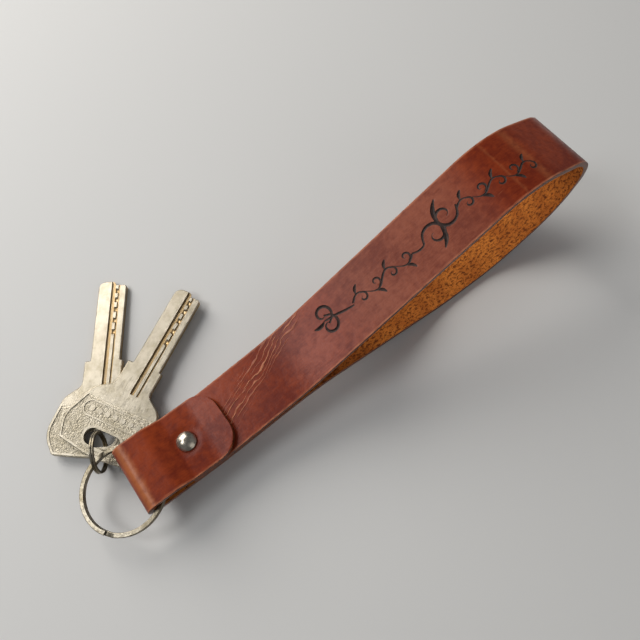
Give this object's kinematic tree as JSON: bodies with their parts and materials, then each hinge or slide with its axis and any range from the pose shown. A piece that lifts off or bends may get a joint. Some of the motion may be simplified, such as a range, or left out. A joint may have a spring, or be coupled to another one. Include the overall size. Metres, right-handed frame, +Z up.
{
  "type": "wristlet keychain",
  "caption": "Folded leather wrist strap riveted to itself, with a large split ring through its fold and two keys on a small split ring.",
  "frame": {"origin": "middle of the flat stretch of strap that rests on the table", "axes": "+X from the rivet towards the far end of the wrist loop, +Z up, +Y to the side the keys lie on"},
  "size_m": [0.1892, 0.0841, 0.0486],
  "materials": {
    "strap_leather": "waxed, reddish brown grain side with an orange tan flesh side",
    "rivet_metal": "nickel plated, domed and polished",
    "ring_metal": "nickel plated spring steel, lightly worn",
    "key_metal": "nickel silver, pebbled bow and milled blade"
  },
  "bodies": {
    "strap": {"strap": "strap_leather", "rivet_cap": "rivet_metal", "rivet_post": "rivet_metal", "rivet_socket": "rivet_metal", "rivet_back": "rivet_metal"},
    "large_ring": {"large_split_ring": "ring_metal"},
    "small_ring": {"small_split_ring": "ring_metal"},
    "key_front": {"key_front": "key_metal"},
    "key_back": {"key_back": "key_metal"}
  },
  "joints": [
    {"name": "large_ring_turn", "type": "hinge", "parent": "strap", "child": "large_ring", "pos_m": [-0.13278, 0, 0.0089], "axis": [-0.1097, 0, 0.994], "continuous": true},
    {"name": "small_ring_slide", "type": "hinge", "parent": "strap", "child": "small_ring", "pos_m": [-0.13278, 0, 0.0089], "axis": [-0.1097, 0, 0.994], "range_deg": [-2, 90]},
    {"name": "key_front_turn", "type": "hinge", "parent": "small_ring", "child": "key_front", "pos_m": [-0.13194, 0.01882, 0.00363], "axis": [0.0142, 0.0212, 0.9997], "range_deg": [-12, 82]},
    {"name": "key_back_turn", "type": "hinge", "parent": "small_ring", "child": "key_back", "pos_m": [-0.13194, 0.01882, 0.00165], "axis": [0.0142, 0.0212, 0.9997], "range_deg": [-20, 35]}
  ]
}
